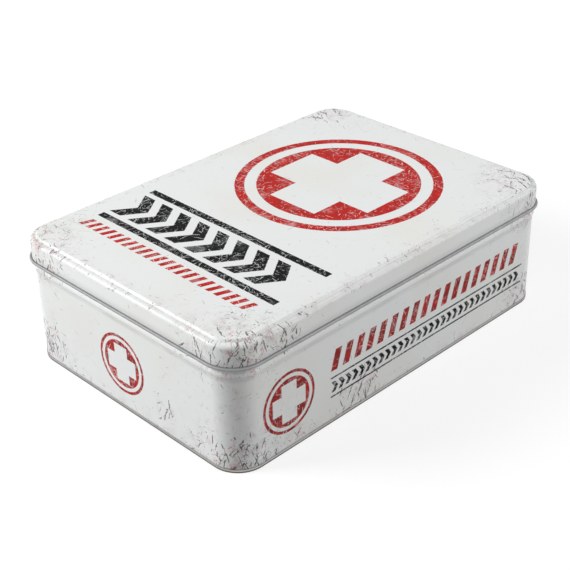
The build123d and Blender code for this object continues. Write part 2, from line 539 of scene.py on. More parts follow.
@dataclass
class BodyWall:
    """The wall: one strip with its bead and rolled mouth, its seam and its hinge loops."""

    plan: Plan
    hinge: Hinge
    outside: Material
    inside: Material
    sheet: float = 0.25
    lid_gap: float = 0.76
    mouth_z: float = 67.1
    mouth_radius: float = 1.0
    mouth_degrees: float = 300.0
    bead_drop: float = 4.6
    bead_height: float = 3.3
    bead_depth: float = 0.6
    bead_steps: int = 16
    bead_crease: float = 0.3
    foot_z: float = 0.28
    seam_x: float = 84.0
    seam_width: float = 4.5
    seam_layers: int = 4
    seam_foot: float = 2.7
    seam_head: float = 64.1
    groove_width: float = 0.30
    groove_depth: float = 0.12

    def __post_init__(self) -> None:
        """Works out where the wall stands, from the hinge and the lid."""
        roll = self.plan.width / 2 - self.hinge.y
        self.inset = 2 * roll + self.lid_gap
        self.bead_z = self.hinge.z - self.bead_drop
        self.wall_y = self.plan.width / 2 - self.inset

    def bead_line(self, depth_inwards: float) -> list[Vector]:
        """The bead's line in section, an arc that swells out of the wall.

        Args:
            depth_inwards: How far inside the wall's outer face the line lies.

        Returns:
            The line's points, from the bead's foot to its head.
        """
        half = self.bead_height / 2
        radius = (half**2 + self.bead_depth**2) / (2 * self.bead_depth)
        crest = self.bead_depth - self.inset - depth_inwards
        rises = [half * (2 * step / self.bead_steps - 1) for step in range(self.bead_steps + 1)]
        return [Vector((crest + math.sqrt(radius**2 - r**2) - radius, self.bead_z + r)) for r in rises]

    def section(self) -> Sheet:
        """The section of the wall, from its foot to the tip of the mouth's roll.

        Returns:
            The sheet with both its faces.
        """
        strip = Sheet(self.sheet)
        half = self.bead_height / 2 + self.bead_crease
        for line, depth in ((strip.enamelled, 0.0), (strip.bare, self.sheet)):
            flat = -self.inset - depth
            line += [Vector((flat, self.foot_z)), Vector((flat, self.bead_z - half))]
            line += self.bead_line(depth)
            line += [Vector((flat, self.bead_z + half)), Vector((flat, self.mouth_z))]
        centre = (-self.inset - self.mouth_radius, self.mouth_z)
        strip.roll(centre, (self.mouth_radius, self.mouth_radius - self.sheet), 0.0, self.mouth_degrees)
        return strip

    def cutters(self) -> list[Object]:
        """The windows above the loops and the line of the folded seam.

        Returns:
            The boxes to cut the wall with.
        """
        hinge, reach = self.hinge, 2 * self.sheet
        low = (self.wall_y - reach, hinge.window_foot)
        high = (self.wall_y + reach, hinge.window_foot + hinge.window_height)
        windows = hinge.openings(hinge.window_slit, low, high, self.inside)
        groove, half = self.seam_x - self.seam_width / 4, self.groove_width / 2
        low = (groove - half, self.wall_y - self.groove_depth, self.seam_foot)
        bead_foot = self.bead_z - self.bead_height / 2
        high = (groove + half, self.wall_y + self.groove_depth, bead_foot)
        return [*windows, block("seam_line", low, high, self.inside)]

    def seam(self) -> Object:
        """The layers of the folded seam on the inside of the rear wall.

        Returns:
            The seam's piece.
        """
        back = self.plan.width / 2
        wall = [(back + p.x, p.y) for p in self.bead_line(self.sheet)]
        near = self.wall_y - self.sheet
        far = self.wall_y - self.seam_layers * self.sheet
        outline = [(near, self.seam_foot), *wall, (near, self.seam_head)]
        outline += [(far, self.seam_head), (far, self.seam_foot)]
        start = self.seam_x - self.seam_width / 2
        return prism("seam_fold", outline, start, self.seam_width, self.inside)

    def loops(self) -> Object:
        """The two loops that turn out of the wall and roll round the wires.

        Returns:
            One piece that holds both loops.
        """
        hinge, wall_y = self.hinge, self.wall_y
        strip = Sheet(self.sheet)
        root = [(hinge.y, hinge.strap_z), (wall_y, hinge.strap_z), (wall_y, hinge.window_foot)]
        strip.bend(root, [hinge.bend_radius])
        centre, turn = Vector((hinge.y, hinge.z)), (hinge.roll_start, hinge.roll_degrees, hinge.roll_steps)
        inner = arc_points(centre, hinge.loop_inner, *turn)
        outer = arc_points(centre, hinge.loop_outer, *turn)
        outline = [*reversed(strip.enamelled[1:]), *outer, *reversed(inner), *strip.bare[1:]]
        spots = [(point.x, point.y) for point in outline]
        half = hinge.loop_width / 2
        first, second = (prism("hinge_loops", spots, x - half, 2 * half, self.inside) for x in hinge.xs)
        work = bmesh.new()
        for piece in (first, second):
            work.from_mesh(piece.data)
        work.to_mesh(first.data)
        work.free()
        bpy.data.objects.remove(second)
        first.name = "hinge_loops"
        return first

    def build(self, tree: RingTree) -> list[Object]:
        """Makes the wall, its seam and its loops in place of the CAD wall.

        Args:
            tree: The tree that carries the section round.

        Returns:
            The wall's pieces.
        """
        wall = tree.sweep("body_shell", self.plan, self.section(), self.outside, self.inside)
        cut(wall, self.cutters())
        made = [wall, self.seam(), self.loops()]
        for piece in made:
            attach(smooth(piece), "tin")
            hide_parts("body_wall")
        return made


@dataclass
class BasePanel:
    """The base: its edge folded round the wall's foot, a recess, a step and the floor."""

    plan: Plan
    wall: BodyWall
    finish: Material
    sheet: float = 0.25
    fold_height: float = 1.8
    fold_gap: float = 0.03
    fold_radius: float = 0.28
    recess: float = 2.2
    floor_radius: float = 0.5
    step_inset: float = 9.0
    step_run: float = 0.8
    step_rise: float = 0.5
    floor_border: float = 1.5

    def section(self) -> Sheet:
        """The section of the base, from the fold's upper edge in to the floor.

        Returns:
            The sheet with both its faces.
        """
        outer = self.wall.inset - self.fold_gap - self.sheet
        inner = self.wall.inset + self.wall.sheet + self.fold_gap + self.sheet
        floor = self.recess + self.step_rise
        step_end = self.step_inset + self.step_run
        strip = Sheet(self.sheet, flat_at_end=True)
        strip.bend(
            [
                (-outer, self.fold_height),
                (-outer, 0.0),
                (-inner, 0.0),
                (-inner, self.recess),
                (-self.step_inset, self.recess),
                (-step_end, floor),
                (-step_end - self.floor_border, floor),
            ],
            [self.fold_radius] * 2 + [self.floor_radius] * 3,
        )
        return strip

    def build(self, tree: RingTree) -> Object:
        """Makes the base in place of the CAD base.

        Args:
            tree: The tree that carries the section round.

        Returns:
            The base's piece.
        """
        base = tree.sweep("base_shell", self.plan, self.section(), self.finish, self.finish)
        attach(smooth(base), "tin")
        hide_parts("base_panel")
        return base


class Field:
    """A number that varies over a surface, held as the output of a shader node."""

    def __init__(self, graph: "Graph", socket: NodeSocket) -> None:
        """Keeps the graph that the number belongs to, and its socket."""
        self.graph, self.socket = graph, socket

    def __add__(self, other: "Number") -> "Field":
        """The sum of two numbers."""
        return self.graph.math("ADD", self, other)

    def __sub__(self, other: "Number") -> "Field":
        """The difference of two numbers."""
        return self.graph.math("SUBTRACT", self, other)

    def __rsub__(self, other: float) -> "Field":
        """A plain number less this one."""
        return self.graph.math("SUBTRACT", other, self)

    def __mul__(self, other: "Number") -> "Field":
        """The product of two numbers."""
        return self.graph.math("MULTIPLY", self, other)

    def __truediv__(self, other: "Number") -> "Field":
        """The quotient of two numbers."""
        return self.graph.math("DIVIDE", self, other)

    def size(self) -> "Field":
        """The number without its sign."""
        return self.graph.math("ABSOLUTE", self)

    def share(self) -> "Field":
        """The part of the number after its whole steps."""
        return self.graph.math("FRACT", self)

    def most(self, other: "Number") -> "Field":
        """The larger of two numbers."""
        return self.graph.math("MAXIMUM", self, other)

    def least(self, other: "Number") -> "Field":
        """The smaller of two numbers."""
        return self.graph.math("MINIMUM", self, other)

    def rise(self, low: float, high: float) -> "Field":
        """A smooth step from 0 to 1.

        Args:
            low: Where it leaves 0.
            high: Where it reaches 1. If it is below low, the step falls instead.

        Returns:
            The step.
        """
        falling = high < low
        given = {
            "From Min": min(low, high),
            "From Max": max(low, high),
            "To Min": 1.0 if falling else 0.0,
            "To Max": 0.0 if falling else 1.0,
            "Value": self,
        }
        step = self.graph.node("ShaderNodeMapRange", given, interpolation_type="SMOOTHSTEP")
        return Field(self.graph, step.outputs["Result"])

    def within(self, low: float, high: float, blur: float) -> "Field":
        """1 between two values and 0 outside them, with softened ends."""
        return self.rise(low - blur, low + blur) * self.rise(high + blur, high - blur)


@dataclass(frozen=True)
class Scatter:
    """One spot in each cell of a grid that is shaken out of line.

    across and up are the millimetres from the nearest spot, and chances are three
    random numbers from 0 to 1 that belong to it.
    """

    across: Field
    up: Field
    chances: tuple[Field, Field, Field]


Number = Field | float
Source = Field | NodeSocket | float | tuple[float, ...] | list[float] | str


class Graph:
    """One material's node tree, with short ways to build fields and colours in it."""

    NOISE_SHIFT = (0.37, 0.61, 0.83)
    SCATTER_SHIFT = (7.31, 3.17)
    NEAR_SHARE = 0.3

    def __init__(self, name: str) -> None:
        """Makes the material and reads the surface's place in millimetres."""
        self.material = bpy.data.materials.new(name)
        self.material.use_nodes = True
        self.tree = self.material.node_tree
        self.shader = self.tree.nodes["Principled BSDF"]
        self.place = self.node("ShaderNodeTexCoord", {}).outputs["Object"]
        apart = self.node("ShaderNodeSeparateXYZ", {0: self.place})
        self.x, self.y, self.z = (Field(self, out) / MM for out in apart.outputs)

    def node(self, kind: str, given: dict[str | int, Source], **settings: str) -> Node:
        """Adds a node to the material, as add_node says."""
        return add_node(self.tree, kind, given, **settings)

    def dress(self, given: dict[str, Source]) -> None:
        """Feeds inputs of the shader, by their names."""
        for name, value in given.items():
            feed(self.tree, value, self.shader.inputs[name])

    def math(self, operation: str, first: Number, second: Number = 0.0) -> Field:
        """The result of a Math node on two numbers."""
        made = self.node("ShaderNodeMath", {0: first, 1: second}, operation=operation)
        return Field(self, made.outputs[0])

    def length(self, first: Field, second: Field) -> Field:
        """The distance that two numbers at right angles make."""
        return self.math("SQRT", first * first + second * second)

    def noise(self, size: float, seed: float, detail: float = 2.0, roughness: float = 0.5,
              stretch: Place = (1.0, 1.0, 1.0)) -> Field:
        """Smooth noise over the surface.

        Args:
            size: The size of its largest blots, in millimetres.
            seed: A number that tells one noise from another.
            detail: How many finer layers it has.
            roughness: How strong the finer layers are.
            stretch: How much longer the blots are along each axis.

        Returns:
            The noise, mostly from 0.25 to 0.75.
        """
        placed = {
            "Location": [seed * shift for shift in self.NOISE_SHIFT],
            "Scale": [size * MM * s for s in stretch],
            "Vector": self.place,
        }
        mapping = self.node("ShaderNodeMapping", placed, vector_type="TEXTURE")
        given = {"Scale": 1.0, "Detail": detail, "Roughness": roughness}
        blots = self.node("ShaderNodeTexNoise", {**given, "Vector": mapping.outputs["Vector"]})
        return Field(self, blots.outputs["Fac"])

    def scatter(self, u: Field, v: Field, cell: float, seed: float) -> Scatter:
        """Spreads spots over a face at random.

        Args:
            u: The place along the face, in millimetres.
            v: The place up the face.
            cell: How far apart the spots are.
            seed: A number that tells one spread from another.

        Returns:
            The nearest spot, as seen from each place.
        """
        u, v = (way / cell + seed * shift for way, shift in zip((u, v), self.SCATTER_SHIFT))
        place = self.node("ShaderNodeCombineXYZ", {0: u, 1: v}).outputs[0]
        given = {"Scale": 1.0, "Vector": place}
        cells = self.node("ShaderNodeTexVoronoi", given, voronoi_dimensions="2D").outputs
        spot = self.node("ShaderNodeSeparateXYZ", {0: cells["Position"]}).outputs
        chances = self.node("ShaderNodeSeparateColor", {0: cells["Color"]}).outputs
        across, up = ((way - Field(self, out)) * cell for way, out in zip((u, v), spot))
        return Scatter(across, up, tuple(Field(self, out) for out in chances))

    def near(self, spot: Place, reach: float) -> Field:
        """How near each place is to a spot of the tin, both in millimetres.

        Args:
            spot: The spot's place in the tin's frame.
            reach: How far its surroundings reach.

        Returns:
            1 close to the spot and 0 beyond its reach.
        """
        ends = {0: self.place, 1: [c * MM for c in spot]}
        gap = self.node("ShaderNodeVectorMath", ends, operation="DISTANCE").outputs["Value"]
        return (Field(self, gap) / MM).rise(reach, reach * self.NEAR_SHARE)

    def colour(self, plain: Colour) -> NodeSocket:
        """A plain colour as a socket, to start a chain of mixes with.

        Args:
            plain: The colour.

        Returns:
            The socket.
        """
        out = self.node("ShaderNodeRGB", {}).outputs[0]
        out.default_value = (*plain, 1.0)
        return out

    def paint(self, under: NodeSocket, over: Colour, cover: Field) -> NodeSocket:
        """The colour below with another laid on it, by how much of it covers, from 0 to 1."""
        given = {"Factor": cover, "A": under, "B": (*over, 1.0)}
        return self.node("ShaderNodeMix", given, data_type="RGBA").outputs["Result"]

    def finish(self, colour: NodeSocket, roughness: Field, height: Field) -> None:
        """Connects the colour, the roughness and the relief in millimetres to the shader."""
        bump = self.node("ShaderNodeBump", {"Distance": MM, "Height": height}).outputs["Normal"]
        self.dress({"Base Color": colour, "Roughness": roughness, "Normal": bump})


INK_BLUR = 0.12


@dataclass(frozen=True)
class Roundel:
    """A disc in a ring, with a plain plus left open in it. Sizes are in millimetres."""

    u: float
    v: float
    radius: float
    ring_share: float = 0.905
    disc_share: float = 0.79
    arm_width_share: float = 0.29
    arm_length_share: float = 0.635

    def mask(self, graph: Graph, u: Field, v: Field) -> Field:
        """Where the ink lies.

        Args:
            graph: The material's graph.
            u: The place along the print, in millimetres.
            v: The place up the print.

        Returns:
            1 on the ink and 0 off it.
        """
        across, up = (u - self.u) / self.radius, (v - self.v) / self.radius
        blur = INK_BLUR / self.radius
        reach = graph.length(across, up)
        ring = reach.within(self.ring_share, 1.0, blur)
        disc = reach.rise(self.disc_share + blur, self.disc_share - blur)
        width, length = self.arm_width_share, self.arm_length_share
        arms = [
            first.size().rise(width + blur, width - blur)
            * second.size().rise(length + blur, length - blur)
            for first, second in ((across, up), (up, across))
        ]
        return ring.most(disc * (1.0 - arms[0].most(arms[1])))


@dataclass(frozen=True)
class Bar:
    """A straight bar of ink, from one corner to the other, in millimetres."""

    u_from: float
    u_to: float
    v_from: float
    v_to: float

    def mask(self, graph: Graph, u: Field, v: Field) -> Field:
        """Where the ink lies, as a roundel's mask says."""
        across = u.within(self.u_from, self.u_to, INK_BLUR)
        return across * v.within(self.v_from, self.v_to, INK_BLUR)


class Slant(Enum):
    """How the marks in a row stand."""

    DASHES = "leaning dashes"
    CHEVRONS = "chevrons"


@dataclass(frozen=True)
class MarkRow:
    """A row of equal marks. Sizes are in millimetres."""

    u_from: float
    v_from: float
    v_to: float
    pitch: float
    count: int
    slant: Slant = Slant.DASHES
    filled: float = 0.56
    lean: float = 0.35
    end_blur: float = 0.1

    def mask(self, graph: Graph, u: Field, v: Field) -> Field:
        """Where the ink lies.

        Args:
            graph: The material's graph; not used here.
            u: The place along the print, in millimetres.
            v: The place up the print.

        Returns:
            1 on the ink and 0 off it.
        """
        if self.slant is Slant.CHEVRONS:
            middle = (self.v_from + self.v_to) / 2
            along = u + (v - middle).size() * (self.lean * 2) - self.u_from
        else:
            along = u - (v - self.v_from) * self.lean - self.u_from
        row = along.within(0.0, self.pitch * self.count, self.end_blur)
        row = row * v.within(self.v_from, self.v_to, INK_BLUR)
        blur = INK_BLUR / self.pitch
        return row * (along / self.pitch).share().within(blur, self.filled, blur)


Figure = Roundel | Bar | MarkRow


@dataclass(frozen=True)
class Print:
    """The figures that are printed on one face of the tin, by ink."""

    red: tuple[Figure, ...] = ()
    black: tuple[Figure, ...] = ()


LID_PRINT = Print(
    red=(
        Roundel(0.0, 35.5, 55.0),
        MarkRow(-64.0, -86.6, -79.2, 5.6, 22),
    ),
    black=(
        Bar(-64.0, 64.2, -41.1, -36.8),
        Bar(-63.6, 64.2, -74.9, -70.7),
        MarkRow(-55.0, -67.6, -44.4, 14.2, 8, Slant.CHEVRONS, filled=0.6),
    ),
)


def long_side_print(roundel_u: float, rows_from: float, rows_to: float) -> Print:
    """The print of a long side: a roundel, and beside it two rows between thin rules.

    Args:
        roundel_u: Where the roundel's middle is, in millimetres along the side.
        rows_from: Where the rows begin.
        rows_to: Where the rules end.

    Returns:
        The figures.
    """
    dashes, chevrons, indent = 8.0, 4.7, 2.4
    length = rows_to - rows_from
    chevron_count = int(length / chevrons)
    return Print(
        red=(
            Roundel(roundel_u, 26.7, 16.4),
            MarkRow(rows_from, 29.2, 40.4, dashes, int(length / dashes), lean=0.3),
        ),
        black=(
            Bar(rows_from, rows_to, 24.9, 25.8),
            Bar(rows_from, rows_to, 14.4, 15.3),
            MarkRow(rows_from + indent, 17.2, 23.0, chevrons, chevron_count, Slant.CHEVRONS),
        ),
    )


FRONT_PRINT = long_side_print(-79.5, -52.4, 96.0)
REAR_PRINT = long_side_print(-58.0, -31.0, 97.0)
END_PRINT = Print(red=(Roundel(-2.0, 26.3, 16.3),))


class Face(Enum):
    """The faces of the tin that carry print, named as the tin stands."""

    LID = "lid"
    FRONT = "front"
    REAR = "rear"
    LEFT = "left"
    RIGHT = "right"


CHANCE_FADE = (0.0, 0.06)


@dataclass(frozen=True)
class Scratches:
    """Thin strokes at random places, one to a cell, in millimetres and degrees."""

    seed: float
    cell: float
    half_length: float
    half_width: float
    heading: float = 0.0
    spread: float = 180.0
    bend: float = 0.12
    shortest: float = 0.4
    length_range: float = 0.8
    edge: Point = (1.25, 0.6)

    def mask(self, graph: Graph, u: Field, v: Field, share: Field) -> Field:
        """Where the strokes lie.

        Args:
            graph: The material's graph.
            u: The place along the face.
            v: The place up the face.
            share: What share of the strokes is there, from 0 to 1.

        Returns:
            1 on a stroke and 0 off it.
        """
        spot = graph.scatter(u, v, self.cell, self.seed)
        turn = (spot.chances[0] - 0.5) * math.radians(2 * self.spread) + math.radians(self.heading)
        cosine, sine = graph.math("COSINE", turn), graph.math("SINE", turn)
        along = spot.across * cosine + spot.up * sine
        aside = spot.up * cosine - spot.across * sine
        aside = aside + along * along * (spot.chances[1] - 0.5) * self.bend
        length = spot.chances[1] * self.length_range + self.shortest
        reach = along / (length * self.half_length)
        line = aside.size() + reach * reach * self.half_width
        stroke = line.rise(*(self.half_width * share_of for share_of in self.edge))
        return stroke * (share - spot.chances[2]).rise(*CHANCE_FADE)


@dataclass(frozen=True)
class Specks:
    """Small spots at random places, one to a cell. Sizes are in millimetres."""

    seed: float
    cell: float
    smallest: float
    largest: float
    squash: float = 1.4
    blur: float = 0.05

    def mask(self, graph: Graph, u: Field, v: Field, share: Field) -> Field:
        """Where the spots lie.

        Args:
            graph: The material's graph.
            u: The place along the face.
            v: The place up the face.
            share: What share of the spots is there, from 0 to 1.

        Returns:
            1 on a spot and 0 off it.
        """
        spot = graph.scatter(u, v, self.cell, self.seed)
        edge = spot.chances[0] * (self.largest - self.smallest) + self.smallest
        inside = (edge - graph.length(spot.across, spot.up * self.squash)).rise(-self.blur, self.blur)
        return inside * (share - spot.chances[2]).rise(*CHANCE_FADE)


@dataclass(frozen=True)
class Blots:
    """Soft blots of noise, with the two levels of the noise that their edge lies between."""

    size: float
    seed: float
    low: float
    high: float
    detail: float = 2.0
    roughness: float = 0.5

    def mask(self, graph: Graph) -> Field:
        """1 inside the blots and 0 outside them."""
        return graph.noise(self.size, self.seed, self.detail, self.roughness).rise(self.low, self.high)


@dataclass(frozen=True)
class Knock:
    """A place of the tin that has been knocked, in millimetres in the tin's frame."""

    spot: Place
    reach: float
    strokes: float
    rust: float


KNOCKS = (
    Knock((-105.0, -79.0, 65.0), 15.0, 0.55, 1.0),
    Knock((-80.0, -79.0, 62.0), 10.0, 1.0, 0.35),
    Knock((-107.0, -74.0, 5.0), 21.0, 1.0, 0.55),
    Knock((-113.0, 63.0, 10.0), 18.0, 0.75, 0.9),
    Knock((-113.0, 54.0, 64.0), 15.0, 0.6, 0.6),
    Knock((-32.0, -78.0, 4.0), 22.0, 0.45, 0.8),
    Knock((-76.0, -78.0, 2.0), 12.0, 0.4, 0.8),
    Knock((97.0, 66.0, 70.0), 18.0, 0.55, 0.2),
    Knock((97.0, -66.0, 68.0), 17.0, 0.7, 0.2),
    Knock((100.0, -78.0, 6.0), 17.0, 0.7, 0.3),
    Knock((-113.0, -27.0, 14.0), 14.0, 0.35, 0.1),
)
CLUSTERS = Scratches(13.0, 3.2, 3.8, 0.35, heading=80.0, spread=40.0, bend=0.1)
RED_SCRATCHES = Scratches(12.0, 4.6, 4.2, 0.30, heading=70.0, spread=80.0, bend=0.3)
GOUGES = (
    Scratches(1.0, 7.5, 6.2, 0.34, heading=88.0, spread=34.0, bend=0.05),
    Scratches(2.0, 5.4, 4.4, 0.28, heading=72.0, spread=44.0, bend=0.08),
)
# Each kind of dark scratch, with the share of it that full wear brings out.
DARK_SCRATCHES = {
    Scratches(3.0, 6.5, 4.4, 0.17, heading=65.0, spread=75.0): 0.75,
    Scratches(4.0, 4.6, 2.7, 0.14): 0.7,
    Scratches(5.0, 3.4, 1.8, 0.12, bend=0.35): 0.7,
    Scratches(6.0, 7.0, 4.6, 0.13, bend=0.30): 0.7,
}
DARK_SPECKS = (Specks(10.0, 1.6, 0.08, 0.26), Specks(11.0, 4.2, 0.12, 0.60))
LIGHT_SCRATCHES = (
    Scratches(7.0, 5.2, 4.0, 0.15, bend=0.10),
    Scratches(8.0, 3.6, 2.3, 0.12, bend=0.25),
    Scratches(9.0, 2.6, 1.4, 0.10, bend=0.4),
)
WORN_PATCHES = Blots(14.0, 1.0, 0.36, 0.60)
STAINS = Blots(5.0, 4.0, 0.50, 0.70, detail=6.0, roughness=0.75)
STAINED_AREAS = Blots(24.0, 5.0, 0.42, 0.56)
SMUDGES = Blots(6.0, 6.0, 0.42, 0.72, detail=4.0, roughness=0.7)
SCUFFED_AREAS = Blots(20.0, 7.0, 0.35, 0.62)
FLAKES = Blots(1.5, 8.0, 0.60, 0.66, detail=4.0, roughness=0.7)
THIN_INK = Blots(11.0, 9.0, 0.55, 0.8, detail=3.0)
AGED_INK = Blots(5.5, 15.0, 0.38, 0.58, detail=4.0, roughness=0.65)
CREAM_CLOUDS = Blots(60.0, 11.0, 0.45, 0.75)
BARE_SPOTS = Blots(1.5, 23.0, 0.68, 0.74, detail=5.0, roughness=0.7)


@dataclass(frozen=True)
class WhiteEnamel:
    """White stoving enamel with printed figures, worn and stained at its edges, and with painted shade
    along the rim, under the bead and at the foot.
    """

    name: str
    plan: Plan
    faces: tuple[Face, ...]
    print_wear: float = 0.3
    white: Colour = (0.785, 0.803, 0.795)
    cream: Colour = (0.74, 0.72, 0.65)
    red: Colour = (0.53, 0.022, 0.019)
    black: Colour = (0.008, 0.008, 0.009)
    brown: Colour = (0.11, 0.03, 0.025)
    browned: float = 0.25
    rust: Colour = (0.50, 0.16, 0.19)
    dirt: Colour = (0.055, 0.05, 0.045)
    # Grey for grime smudges, and for the painted shade under the rim, above it, under the bead and at the
    # foot.
    grime_and_shade: Colour = (0.16, 0.155, 0.145)
    gloss: float = 0.34
    ink_gloss_loss: float = 0.9
    roughness: float = 0.35
    peel_height: float = 0.008
    wave_height: float = 0.12
    bead_foot: float = 51.1
    face_margin: float = 3.0
    face_blur: float = 0.4
    panel_z: Point = (69.3, 69.6)
    top_z: Point = (69.0, 69.2)
    quarter_shift: Point = (371.3, 737.9)

    def layout(self, graph: Graph, face: Face) -> tuple[Field, Field, Field, Print]:
        """Where a face's print lies on the tin.

        Args:
            graph: The material's graph.
            face: The face.

        Returns:
            The place along and up the print, where that face is, and its figures.
        """
        x, y, z = graph.x, graph.y, graph.z
        far_y, far_x = self.plan.width / 2 - self.face_margin, self.plan.length / 2 - self.face_margin
        near_y, near_x = far_y - self.face_blur, far_x - self.face_blur
        return {
            Face.LID: (0.0 - y, x, z.rise(*self.panel_z), LID_PRINT),
            Face.FRONT: (x, z, y.rise(-near_y, -far_y), FRONT_PRINT),
            Face.REAR: (0.0 - x, z, y.rise(near_y, far_y), REAR_PRINT),
            Face.LEFT: (0.0 - y, z, x.rise(-near_x, -far_x), END_PRINT),
            Face.RIGHT: (y, z, x.rise(near_x, far_x), END_PRINT),
        }[face]

    def unrolled(self, graph: Graph) -> tuple[Field, Field]:
        """The tin's surface laid flat: the top as it is, and the sides round their corners.

        Args:
            graph: The material's graph.

        Returns:
            The place along and up the flat sheet, in millimetres.
        """
        plan = self.plan
        straight_x = plan.length / 2 - plan.corner_radius
        straight_y = plan.width / 2 - plan.corner_radius
        far_x, far_y = graph.x.size(), graph.y.size()
        turn = graph.math("ARCTAN2", (far_y - straight_y).most(0.0), (far_x - straight_x).most(0.0))
        round_side = far_y.least(straight_y) + turn * plan.corner_radius - far_x.least(straight_x)
        shift_x, shift_y = self.quarter_shift
        quarter = graph.x.rise(-0.01, 0.01) * shift_x + graph.y.rise(-0.01, 0.01) * shift_y
        top = graph.z.rise(*self.top_z)
        along = round_side + (graph.x - round_side) * top + quarter
        return along, graph.z + (graph.y - graph.z) * top

    def edge_wear(self, graph: Graph) -> tuple[Field, Field]:
        """How worn each place is: most at the corners and along the edges.

        Args:
            graph: The material's graph.

        Returns:
            The wear from 0 to 1, and how hard the place has been knocked.
        """
        z = graph.z
        side_x = self.plan.length / 2 - graph.x.size()
        side_y = self.plan.width / 2 - graph.y.size()
        reach = graph.length(side_x, side_y)
        corner = reach.rise(54.0, 8.0)
        ends = z.rise(30.0, 3.0).most(z.rise(42.0, 58.0))
        foot = z.rise(11.0, 1.0) * 0.45
        border = side_x.least(side_y).rise(14.0, 3.0) * z.rise(66.0, 68.0) * 0.4
        hard = z.rise(17.0, 3.0).most(z.within(57.0, 67.5, 1.5))
        knocks = reach.rise(42.0, 14.0) * hard.most(z.rise(68.0, 69.0) * 0.4)
        return (corner * (ends * 0.8 + 0.2)).most(foot).most(border), knocks

    def knocked(self, graph: Graph) -> tuple[Field, Field]:
        """How near each place is to one that has been knocked.

        Args:
            graph: The material's graph.

        Returns:
            How thick the strokes lie there and how red it is stained, from 0 to 1.
        """
        hits, stains = None, None
        for knock in KNOCKS:
            close = graph.near(knock.spot, knock.reach)
            hit, stain = close * knock.strokes, close * knock.rust
            hits = hit if hits is None else hits.most(hit)
            stains = stain if stains is None else stains.most(stain)
        return hits, stains

    def build(self) -> Material:
        """Makes the material.

        Returns:
            The finished enamel.
        """
        graph = Graph(self.name)
        along, up = self.unrolled(graph)
        wear, knocks = self.edge_wear(graph)
        hits, stains = self.knocked(graph)
        knocks = (knocks * 0.65).most(hits)
        wear = wear.most(hits * 0.8)
        share = wear * (WORN_PATCHES.mask(graph) * 0.75 + 0.25)
        wobble = (graph.noise(1.6, 2.0, detail=3.0, roughness=0.65) - 0.5) * 1.7
        along, up = along + wobble, up - wobble
        dirt = DARK_SPECKS[0].mask(graph, along, up, share * 0.9 + 0.05)
        dirt = dirt.most(DARK_SPECKS[1].mask(graph, along, up, share * 0.6 + 0.07))
        for scratches, most in DARK_SCRATCHES.items():
            dirt = dirt.most(scratches.mask(graph, along, up, share * most + 0.07))
        broken = graph.noise(1.9, 3.0, detail=3.0, roughness=0.65)
        dirt = dirt * (broken.rise(0.40, 0.58) * 0.85 + 0.1) * (share * 1.4 + 0.5).least(1.0)
        for gouges, many in zip((*GOUGES, CLUSTERS), (knocks * 0.75, knocks * 0.75, hits * 0.6)):
            hit = gouges.mask(graph, along, up, many)
            dirt = dirt.most(hit * (broken.rise(0.32, 0.50) * 0.6 + 0.35))

        scuffs = SCUFFED_AREAS.mask(graph)
        stain = STAINS.mask(graph)
        rust = stain * wear.most(knocks) * STAINED_AREAS.mask(graph) * 0.85
        streaks = RED_SCRATCHES.mask(graph, along, up, stains * 0.75)
        streaks = streaks * (broken.rise(0.35, 0.55) * 0.7 + 0.2)
        rust = rust.most(stain * stains * 0.8).most(streaks)
        smudge = SMUDGES.mask(graph) * share * 0.4
        # Painted shade, not dirt: a dark band on the wall in the shadow of the lid's rim, a darkening of
        # the skirt just above the rim, a soft band under the bead, and a line where the wall meets the
        # base's fold at the foot.
        rim = graph.z.within(RIM_Z - 2.2, RIM_Z + 1.0, 0.5) * 0.6
        skirt = graph.z.within(RIM_Z, RIM_Z + 3.0, 2.0) * 0.22
        shade_under_bead = graph.z.within(self.bead_foot - 1.6, self.bead_foot, 0.9) * (scuffs * 0.14 + 0.12)
        seam = (graph.z.rise(3.0, 1.9) * 0.40).most(rim).most(skirt).most(shade_under_bead)

        lost = FLAKES.mask(graph) * (scuffs * 0.6 + 0.2)
        for scratches in LIGHT_SCRATCHES:
            light = scratches.mask(graph, along, up, scuffs * 0.6 + self.print_wear)
            lost = lost.most(light * 0.8)
        thin = THIN_INK.mask(graph) * self.print_wear
        ragged = (graph.noise(0.9, 10.0) - 0.5) * 0.5
        aged = AGED_INK.mask(graph) * self.browned

        cloud = CREAM_CLOUDS.mask(graph) * 0.45
        colour = graph.paint(graph.colour(self.white), self.cream, cloud)
        colour = graph.paint(colour, self.rust, rust)
        inked = None
        for face in self.faces:
            u, v, here, figures = self.layout(graph, face)
            u, v = u + ragged, v + ragged
            for ink, shapes in ((self.red, figures.red), (self.black, figures.black)):
                for shape in shapes:
                    cover = shape.mask(graph, u, v) * here * (1.0 - lost.most(thin))
                    colour = graph.paint(colour, ink, cover)
                    if ink is self.red:
                        colour = graph.paint(colour, self.brown, cover * aged)
                    inked = cover if inked is None else inked.most(cover)
        # Smudges are grime; the seam mask laid on with the same grey is painted shade.
        colour = graph.paint(colour, self.grime_and_shade, smudge.most(seam))
        colour = graph.paint(colour, self.dirt, dirt)
        peel = graph.noise(1.4, 12.0, detail=3.0, roughness=0.6) * self.peel_height
        waves = graph.noise(48.0, 13.0, detail=1.0) * self.wave_height
        rough = dirt * 0.3 + rust * 0.2 + inked * 0.1 + graph.noise(9.0, 14.0) * 0.12 + self.roughness
        graph.finish(colour, rough, peel + waves)
        graph.dress({"Specular IOR Level": self.gloss})
        graph.dress({"Specular IOR Level": self.gloss - inked * self.gloss * self.ink_gloss_loss})
        return graph.material


